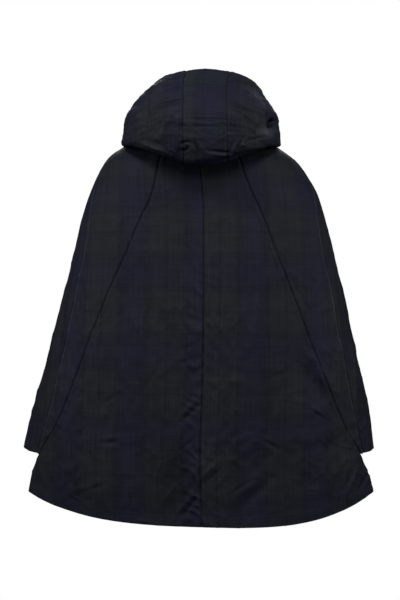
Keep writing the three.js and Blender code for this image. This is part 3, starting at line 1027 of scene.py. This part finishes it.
def make_raglan_front(side):
    """The wing that wraps round the side, from the seam over the arm to the slanting front seam."""
    at_vent = np.array(float(VENT_DROP))
    feet = (float(overarm_seam(at_vent)), float(front_seam(at_vent)))
    cloth, drop, crumple, inner, outer = body_cloth(
        "raglan_front", side, overarm_seam, front_seam, feet, side_hem, 180, 104
    )
    u, v = cloth.place
    upright = 3.0 * lattice(u / 26 + 3, v / 260 + 2, 41) * smooth((drop - 120) / 160)
    cloth.raise_by(crumple + upright * smooth(cloth.near / 30) * smooth(cloth.far / 30))
    cloth.raise_by(
        seam_roll(cloth, ["near", "far"], SEAM_ROLL)
        + seam_ply(cloth, [outer], 0.5)
        + hem_turn(cloth, HEM)
        + seam_puckers(cloth, inner, 25, 0.4)
        + seam_puckers(cloth, outer, 26, 0.4)
    )
    edges = [inner, outer, "foot"]
    lines = [(outer, SEAM_STITCH), ("foot", HEM_STITCH)]
    finish_piece("raglan_front", side, cloth, edges, lines, plies(cloth, edges))


def make_front(side):
    """One front, from the slanting front seam to the centre front, where it lies flat under the fly."""
    feet = (float(front_seam(np.array(float(VENT_DROP)))), 180.0)
    cloth, _, crumple, seam, middle = body_cloth(
        "front", side, front_seam, centre_front, feet, side_hem, 180, 64
    )
    clear = smooth((getattr(cloth, middle) - 26) / 16)
    cloth.raise_by(crumple * clear)
    cloth.raise_by(
        seam_roll(cloth, [seam], SEAM_ROLL)
        + (hem_turn(cloth, HEM) + seam_puckers(cloth, seam, 27, 0.4)) * np.maximum(clear, 0.02)
    )
    edges = [seam, "foot"]
    finish_piece("front", side, cloth, edges, [("foot", HEM_STITCH)], plies(cloth, edges))


def make_fly():
    """The fly over the centre front, lying on both fronts, with a stitch line down each side."""
    foot = float(side_hem(np.array(180.0)))
    drop = np.maximum(FLY_TOP, drop_rows(closer_at_ends(180, 0.5)[:, None], foot))
    drop = FLY_TOP + (drop - drop[0, 0]) * (foot - FLY_TOP) / (foot - drop[0, 0])
    half = seam_angle(FLY_WIDTH / 2, BODY("side_x", drop))
    angle = 180 + half * (2 * closer_at_ends(26, 0.6) - 1)
    drop = drop + 0 * angle
    cloth = Cloth(body_surface(angle, drop, FLY_LIFT), -1, body_cloth_place(angle, drop, "front_placket"))
    u, v = cloth.place
    cloth.raise_by(
        0.35 * lattice(u / 18 + 3, v / 40 + 5, 61) * smooth(cloth.near / 6) * smooth(cloth.far / 6)
        + seam_ply(cloth, ["near", "far"], 0.4, 6)
        + hem_turn(cloth, HEM, 0.3)
    )
    lines = [("near", FLY_STITCH), ("far", FLY_STITCH), ("foot", HEM_STITCH)]
    finish_piece("front_placket", 0, cloth, ["near", "far"], lines, 0)


def strip_angle(along, side):
    """Angle of the strip's edge: half its width round the ring, slipped to the right above the neck."""
    slip = STRIP_SHIFT * smooth(along / SLIP_END)
    return seam_angle(HOOD_STRIP_WIDTH / 2 + side * slip, HOOD("side_x", along))


def hood_front_angle(along):
    """Angle of the hood's front edge, a little short of the centre front."""
    return 180 - seam_angle(FRONT_EDGE, HOOD("side_x", along))


# places along the hood from the neck seam to the rim, closer at both ends
HOOD_ALONG = RIM * closer_at_ends(200, 0.35)[:, None]


# x, z, half length, half width, direction in degrees above level, depth: the hood's creases seen from behind
HOOD_CREASES = [
    (-57, 36, 26, 7, 14, -4.0),
    (-96, 20, 24, 7, 32, -4.0),
    (-66, 25, 28, 2.2, 18, 1.5),
    (-60, 17, 24, 2.0, 20, 1.3),
    (-50, 44, 22, 2.0, 10, 1.1),
    (-98, 6, 24, 2.4, 34, 1.6),
    (-112, 2, 16, 3, 50, -1.4),
    (80, 26, 28, 6, -27, -4.8),
    (62, 34, 15, 1.9, -14, 1.9),
    (68, 22, 17, 1.9, -24, 1.8),
    (60, 28, 14, 1.6, -20, -1.4),
    (86, 11, 22, 2.4, -34, 1.7),
    (101, 49, 17, 3.4, -40, 4.0),
    (94, 57, 14, 2.6, -36, -2.2),
    (86, 67, 13, 2.8, -32, 2.8),
    (-99, 53, 15, 2.6, 38, 1.2),
    (-92, 57, 15, 2.4, 36, -1.0),
    (-85, 61, 15, 2.6, 34, 1.2),
    (-108, 42, 13, 2.6, 44, 0.9),
    (-72, 62, 20, 3.0, 24, -1.6),
    (131, 2, 8.0, 4.0, 68, -12.0),
    (127, 18, 9, 4, 50, -2.0),
    (119, -22, 10, 11, 20, 7.5),
    (106, -12, 9, 3, 60, -3.0),
    (112, 12, 12, 3, -50, -1.6),
    (6, 7.5, 42, 1.6, 0, 1.1),
    (6, -11, 42, 1.6, 0, -1.1),
    (2, 20, 34, 2.0, -3, -0.9),
    (34, -58, 18, 2.2, -4, -4.8),
    (34, -63, 16, 2.4, -4, 2.0),
    (60, -53, 16, 2.4, 60, 3.0),
    (67, -48, 16, 2.6, 58, -3.0),
    (53, -52, 13, 2.2, 64, -2.2),
    (76, -42, 16, 2.6, 50, 1.6),
    (-9, -52, 15, 4.0, -65, -3.4),
    (-2, -50, 13, 3.0, -65, 1.8),
    (-88, -50, 22, 2.4, -22, 2.3),
    (-82, -42, 26, 5, -18, -2.0),
    (-62, -52, 16, 2.2, -30, 1.5),
    (96, -34, 20, 3, 20, -2.4),
    (84, -40, 16, 2.4, 26, 1.6),
    (-128, -14, 16, 4, 70, -2.0),
    (-116, -20, 14, 3, 66, 1.8),
    (-40, -16, 22, 3, 80, -1.1),
    (-70, -8, 30, 5, 62, 1.2),
    (88, -8, 24, 4, -64, -1.3),
]
WHORL = (-32.6, -47.4, 9.5, 3.2)


def hood_marks(cloth, along):
    """The hood's creases, and the whorl of puckers low on its left, all on the outside of the bag."""
    x, z = cloth.base[..., 0], cloth.base[..., 2]
    cx, cz, radius, width = WHORL
    r = np.hypot(x - cx, (z - cz) * 1.2)
    twist = np.arctan2(z - cz, x - cx)
    ring = radius * (1 + 0.12 * np.sin(2 * twist + 0.6) + 0.08 * np.sin(3 * twist))
    whorl = -3.2 * bell((r - ring) / width) * (1 + 0.55 * np.sin(2 * twist + r / 3 + 1.2))
    whorl -= 2.6 * bell(np.hypot(x - cx - 1.5, z - cz + 1) / 3.2)
    return (1.3 * crease_marks(HOOD_CREASES, cloth) + whorl) * smooth((along - 112) / 12)


def hood_sag(points, angle, along):
    """The lower corners of the bag hang a little lower and closer in than in the plain model."""
    low = bell((np.abs(angle) - 60) / 24) * smooth((along - 88) / 26) * (1 - smooth((along - 126) / 46))
    tuck = smooth((along - 96) / 20) * (1 - smooth((along - 130) / 40)) * smooth((np.abs(angle) - 40) / 35)
    sag = np.zeros_like(points)
    sag[..., 0] = np.where(angle > 0, -6.0, 2.0) * tuck
    sag[..., 2] = -8.0 * low
    return points + sag


def hood_crumple(angle, back, u):
    """Soft swells of the bag, fine creases across it and wrinkles that run round it below the rim's hem.

    They are worked out around the hood from the centre back and by length back from the rim.
    """
    swell = 1.8 * lattice(u / 55 + 3, back / 48 + 2, 71) + 1.0 * lattice(u / 24 + 1, back / 20 + 8, 72)
    bent = back + 7 * lattice(u / 40 + 5, back / 50 + 1, 76) + 0.12 * np.abs(u)
    crisp = 0.9 * crease_noise(u / 60 + 4, bent / 22 + 1, 73)
    crisp = crisp + 0.6 * crease_noise(u / 28 + 6, bent / 13 + 5, 74)
    ripple = bell((back - 47) / 15) * bell(angle / 26)
    wrinkle = 0.55 * ripple * np.sin(back / 1.5 + 3.0 * lattice(u / 26 + 2, back / 60, 75))
    under = smooth((back - 185) / 30)
    return (swell + crisp) * (1 - 0.5 * under) + wrinkle


def hood_piece(part, side, angle, seams):
    """A piece of the hood: its sagged surface raised by crumple, creases and seams, fading at the neck."""
    along = HOOD_ALONG + 0 * angle
    cloth = Cloth(hood_sag(hood_surface(angle, along), angle, along), 1)
    cloth.place = u, back = around(HOOD_AROUND, angle, along), cloth.foot
    neck_fit = smooth(cloth.top / 22) * smooth((180 - np.abs(angle)) / 7)
    behind = smooth((-cloth.normals()[..., 1] - 0.1) / 0.3)
    cloth.raise_by((hood_crumple(angle, back, u) + hood_marks(cloth, along) * behind) * neck_fit)
    cloth.raise_by(
        seam_roll(cloth, seams, HOOD_ROLL) * neck_fit
        + seam_ply(cloth, seams, 0.25, 5.5) * neck_fit
        + hem_turn(cloth, HOOD_HEM, 0.6)
        + sum(seam_puckers(cloth, edge, 28 + n, 0.35, 9, 6) for n, edge in enumerate(seams)) * neck_fit
    )
    lines = [(edge, HOOD_SEAM_STITCH) for edge in seams] + [("foot", HOOD_HEM_STITCH)]
    finish_piece(part, side, cloth, seams + ["foot"], lines, HOOD_HEM_PLY * (cloth.foot < HOOD_HEM))


def make_hood_strip():
    """The middle strip of the hood, from the neck seam under the bag and up to the rim."""
    left, right = -strip_angle(HOOD_ALONG, LEFT) - HOOD_LAP, strip_angle(HOOD_ALONG, RIGHT) + HOOD_LAP
    hood_piece("hood_strip", 0, left + (right - left) * closer_at_ends(44, 0.7), ["near", "far"])


def make_hood_side(side):
    """One side of the hood, from the strip round to the front edge at the throat."""
    across = closer_at_ends(140, 0.5)
    share = across if side > 0 else 1 - across
    near, far = strip_angle(HOOD_ALONG, side) - HOOD_LAP, hood_front_angle(HOOD_ALONG)
    angle = side * (near + (far - near) * (share * 0.75 + share**2 * 0.25))
    hood_piece("hood_side", side, angle, ["near" if side > 0 else "far"])


# Properties, operators and the panel


class CapeSizes(bpy.types.PropertyGroup):
    wall: FloatProperty(
        name="Cloth", description="Thickness of one layer of cloth", default=0.0011,
        unit="LENGTH", min=0.0004, max=0.0015,
    )
    stitch: FloatProperty(
        name="Stitch", description="Length of one stitch of the topstitching", default=0.0033,
        unit="LENGTH", min=0.002,
    )
    floor: FloatProperty(name="Floor", description="Height of the floor", default=-1.35, unit="LENGTH")


class CapeLooks(bpy.types.PropertyGroup):
    navy: FloatVectorProperty(
        name="Navy", description="Navy threads of the check", default=(0.0127, 0.0138, 0.0272),
        subtype="COLOR", min=0, max=1,
    )
    green: FloatVectorProperty(
        name="Green", description="Green threads of the check", default=(0.0160, 0.0171, 0.0220),
        subtype="COLOR", min=0, max=1,
    )
    black: FloatVectorProperty(
        name="Black", description="Black threads of the check", default=(0.0104, 0.0111, 0.0165),
        subtype="COLOR", min=0, max=1,
    )
    reverse: FloatVectorProperty(
        name="Reverse", description="Coated inside of the cloth", default=(0.016, 0.017, 0.02),
        subtype="COLOR", min=0, max=1,
    )
    thread: FloatVectorProperty(
        name="Thread", description="Sewing thread", default=(0.008, 0.016, 0.024),
        subtype="COLOR", min=0, max=1,
    )
    sett_across: FloatProperty(
        name="Check across", description="Width of one repeat of the check", default=0.131, unit="LENGTH"
    )
    sett_down: FloatProperty(
        name="Check down", description="Height of one repeat of the check", default=0.157, unit="LENGTH"
    )
    lines: FloatProperty(
        name="Lines", description="Strength of the check's dark lines", default=0.75, min=0, max=1
    )
    twill: FloatProperty(name="Twill", description="Pitch of the twill lines", default=0.0011, unit="LENGTH")
    roughness: FloatProperty(
        name="Roughness", description="Roughness of the cloth", default=0.6, min=0, max=1
    )
    gloss: FloatProperty(
        name="Gloss", description="Strength of the cloth's gloss", default=0.06, min=0, max=1
    )


class CAPE_OT_backs(bpy.types.Operator):
    """Make the two halves of the back with the long tail"""

    bl_idname = "cape.backs"
    bl_label = "Backs"

    def execute(self, context):
        for side in (LEFT, RIGHT):
            make_back(side)
        return {"FINISHED"}


class CAPE_OT_raglan_backs(bpy.types.Operator):
    """Make the two long triangles behind the arms"""

    bl_idname = "cape.raglan_backs"
    bl_label = "Raglan backs"

    def execute(self, context):
        for side in (LEFT, RIGHT):
            make_raglan_back(side)
        return {"FINISHED"}


class CAPE_OT_wings(bpy.types.Operator):
    """Make the two wings that wrap round the sides"""

    bl_idname = "cape.wings"
    bl_label = "Wings"

    def execute(self, context):
        for side in (LEFT, RIGHT):
            make_raglan_front(side)
        return {"FINISHED"}


class CAPE_OT_fronts(bpy.types.Operator):
    """Make the two fronts and the fly over the centre front"""

    bl_idname = "cape.fronts"
    bl_label = "Fronts and fly"

    def execute(self, context):
        for side in (LEFT, RIGHT):
            make_front(side)
        make_fly()
        return {"FINISHED"}


class CAPE_OT_hood(bpy.types.Operator):
    """Make the strip and the two sides of the hood"""

    bl_idname = "cape.hood"
    bl_label = "Hood"

    def execute(self, context):
        make_hood_strip()
        for side in (LEFT, RIGHT):
            make_hood_side(side)
        return {"FINISHED"}


class CAPE_OT_stage(bpy.types.Operator):
    """Make the pale floor, the soft lights and the camera"""

    bl_idname = "cape.stage"
    bl_label = "Stage"

    def execute(self, context):
        make_floor(context.scene.cape_sizes.floor)
        make_light()
        make_camera()
        return {"FINISHED"}


def make_floor(height):
    """A wide pale floor well below the hem, which throws no light back up at the cape."""
    corners = np.array([(x, y, height) for x, y in ((-2.8, -2.8), (2.8, -2.8), (2.8, 2.8), (-2.8, 2.8))]) / MM
    nodes = Nodes(bpy.data.materials.new("pale_floor"))
    where = nodes.add("TexCoord").outputs["Object"]
    cloud = nodes.noise(where, 2.0, 3.0)
    colour = nodes.tint((0.86, 0.86, 0.86), cloud * 0.04 + 0.98)
    glow = {"Emission Color": (1, 1, 1, 1), "Emission Strength": 0.5}
    paper = nodes.surface({"Base Color": colour, "Roughness": 0.7, **glow})
    floor = put_mesh("floor", corners, np.array([[0, 1, 2, 3]]), [paper])
    floor.visible_diffuse = floor.visible_glossy = False


def make_light():
    """A surround that the camera sees white and that lights the cape a little, and soft boxes around it."""
    world = bpy.data.worlds.new("white_surround")
    bpy.context.scene.world = world
    nodes = Nodes(world)
    lit = nodes.add("Background", {}, [(0.97, 0.98, 1, 1), 0.07]).outputs[0]
    seen = nodes.add("Background", {}, [(1, 1, 1, 1), 1.0]).outputs[0]
    from_camera = nodes.add("LightPath").outputs["Is Camera Ray"]
    nodes.add("OutputWorld", {}, [nodes.add("MixShader", {}, [from_camera, lit, seen]).outputs[0]])
    # place and aim in metres, size, power in watts, and spread in degrees
    for name, place, aim, size, power, spread in (
        ("high_box_left", (-1.2, -1.4, 1.5), (0.0, -0.1, 0.0), (0.8, 0.6), 6.0, 90),
        ("high_box_right", (1.2, -1.4, 1.5), (0.0, -0.1, 0.0), (0.8, 0.6), 4.3, 90),
        ("middle_box", (0.0, -2.6, 0.7), (0.0, -0.1, 0.0), (1.0, 0.7), 3.6, 80),
        ("side_box_left", (-2.2, -0.6, 0.4), (0.0, -0.1, -0.1), (0.8, 0.8), 5.2, 110),
        ("side_box_right", (2.2, -0.6, 0.4), (0.0, -0.1, -0.1), (0.8, 0.8), 5.4, 110),
        ("front_box", (0.0, 2.3, 1.3), (0.0, 0.1, -0.3), (1.3, 1.1), 40.0, 180),
    ):
        data = bpy.data.lights.new(name, "AREA")
        data.shape = "RECTANGLE"
        data.size, data.size_y = size
        data.energy = power
        data.spread = math.radians(spread)
        lamp = bpy.data.objects.new(name, data)
        bpy.context.scene.collection.objects.link(lamp)
        lamp.location = place
        lamp.rotation_euler = (Vector(aim) - Vector(place)).to_track_quat("-Z", "Y").to_euler()
    bpy.context.scene.view_settings.view_transform = "Standard"


def make_camera():
    """A level camera behind the wearer, 4.2 metres away."""
    data = bpy.data.cameras.new("camera")
    data.sensor_fit = "AUTO"
    data.sensor_width = 36
    data.lens = 126
    camera = bpy.data.objects.new("camera", data)
    bpy.context.scene.collection.objects.link(camera)
    camera.location = (-0.004, -4.2, -0.34)
    camera.rotation_euler = (math.radians(90), 0, 0)
    bpy.context.scene.camera = camera


class CAPE_PT_panel(bpy.types.Panel):
    """Lists the sizes, the colours and the steps of the cape"""

    bl_idname = "CAPE_PT_panel"
    bl_label = "Hooded rain cape"
    bl_space_type = "VIEW_3D"
    bl_region_type = "UI"
    bl_category = "Cape"

    def draw(self, context):
        column = self.layout.column()
        for group in (context.scene.cape_sizes, context.scene.cape_looks):
            for name in group.bl_rna.properties.keys():
                if name not in ("rna_type", "name"):
                    column.prop(group, name)
        for step in STEPS:
            column.operator(step.bl_idname)


STEPS = (CAPE_OT_backs, CAPE_OT_raglan_backs, CAPE_OT_wings, CAPE_OT_fronts, CAPE_OT_hood, CAPE_OT_stage)
CLASSES = (CapeSizes, CapeLooks, *STEPS, CAPE_PT_panel)


def register():
    for one in CLASSES:
        bpy.utils.register_class(one)
    bpy.types.Scene.cape_sizes = PointerProperty(type=CapeSizes)
    bpy.types.Scene.cape_looks = PointerProperty(type=CapeLooks)


def unregister():
    del bpy.types.Scene.cape_sizes
    del bpy.types.Scene.cape_looks
    for one in reversed(CLASSES):
        bpy.utils.unregister_class(one)


def main():
    register()
    for step in (
        bpy.ops.cape.backs,
        bpy.ops.cape.raglan_backs,
        bpy.ops.cape.wings,
        bpy.ops.cape.fronts,
        bpy.ops.cape.hood,
        bpy.ops.cape.stage,
    ):
        step()


if __name__ == "__main__":
    main()
